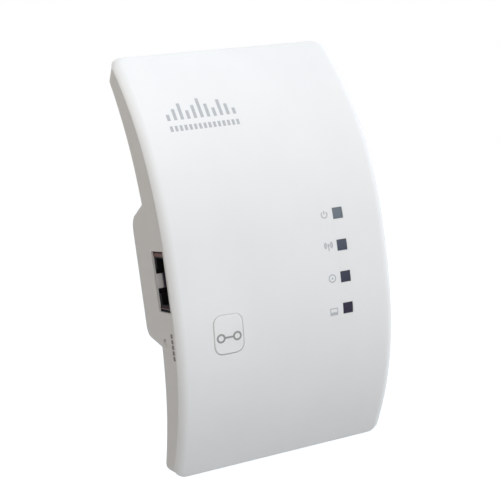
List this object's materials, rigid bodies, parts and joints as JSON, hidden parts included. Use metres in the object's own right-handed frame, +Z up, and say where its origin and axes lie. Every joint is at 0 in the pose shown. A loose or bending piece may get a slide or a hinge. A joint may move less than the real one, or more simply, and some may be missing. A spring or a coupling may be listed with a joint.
{
  "type": "wifi range extender",
  "caption": "Wall-plug wifi repeater: arched white cover, push button, square status windows, side network socket and reset plunger, hump with a flat boss and round mains pins.",
  "frame": {"origin": "centre of the plug's seating face, midway between the two mains pins", "axes": "+Y out of the plug into the wall socket, +Z up along the case, +X to the right of a person facing the front cover"},
  "size_m": [0.0616, 0.06, 0.1092],
  "materials": {
    "cover_white": "satin white",
    "housing_white": "fine satin white",
    "button_white": "satin white",
    "plug_white": "fine satin white",
    "guide_smoke": "smoked",
    "pin_nickel": "bright nickel plate",
    "collar_black": "matte",
    "jack_black": "matte",
    "jack_shield": "tinned",
    "contact_gold": "gold flash",
    "board_green": "solder mask",
    "chip_black": "moulded epoxy",
    "tin": "tinned",
    "screw_steel": "zinc plated",
    "switch_black": "matte",
    "plunger_light": "matte",
    "led_white": "clear resin",
    "ceramic_tan": "ceramic",
    "can_aluminium": "bare",
    "sleeve_dark": "shrink sleeve",
    "ferrite": "sintered",
    "tape_yellow": "polyester tape",
    "resistor_body": "lacquer",
    "antenna_copper": "copper sheet",
    "lead_grey": "cable jacket",
    "brass": "plain"
  },
  "bodies": {
    "case": {"antenna_sockets": "brass", "board_electrolytic": "can_aluminium", "board_inductor": "ferrite", "board_link": "brass", "board_link_base": "switch_black", "board_small_parts": "ceramic_tan", "bridge_rectifier": "chip_black", "case_screws": "screw_steel", "crystal": "tin", "flash_chip": "chip_black", "front_cover": "cover_white", "fuse_resistor": "resistor_body", "input_capacitor": "sleeve_dark", "left_antenna": "antenna_copper", "left_antenna_lead": "lead_grey", "light_guide": "guide_smoke", "live_contact": "brass", "live_pin": "pin_nickel", "live_pin_collar": "collar_black", "main_board": "board_green", "memory_chip": "chip_black", "network_jack_contacts": "contact_gold", "network_jack_insert": "jack_black", "network_jack_shield": "jack_shield", "network_transformer": "chip_black", "neutral_contact": "brass", "neutral_pin": "pin_nickel", "neutral_pin_collar": "collar_black", "optocoupler": "chip_black", "output_capacitor": "sleeve_dark", "pairing_switch_body": "switch_black", "plug_base": "plug_white", "power_board": "board_green", "power_controller": "chip_black", "radio_chip": "chip_black", "rear_housing": "housing_white", "reset_switch_body": "switch_black", "right_antenna": "antenna_copper", "right_antenna_lead": "lead_grey", "shield_can": "tin", "status_leds": "led_white", "transformer_core": "ferrite", "transformer_winding": "tape_yellow"},
    "pairing_button": {"pairing_button": "button_white"},
    "pairing_switch_plunger": {"pairing_switch_plunger": "plunger_light"},
    "reset_plunger": {"reset_plunger": "plunger_light"}
  },
  "joints": [
    {"name": "pairing_button_press", "type": "slide", "parent": "case", "child": "pairing_button", "axis": [0, 1, 0], "range_m": [0, 0.0003], "stiffness_N_per_m": 2000},
    {"name": "pairing_switch_press", "type": "slide", "parent": "case", "child": "pairing_switch_plunger", "axis": [0, 1, 0], "range_m": [0, 0.0003]},
    {"name": "reset_press", "type": "slide", "parent": "case", "child": "reset_plunger", "axis": [1, 0, 0], "range_m": [0, 0.0003], "stiffness_N_per_m": 2000}
  ],
  "couplings": [
    {"joint": "pairing_switch_press", "follows": "pairing_button_press", "ratio": 1}
  ]
}
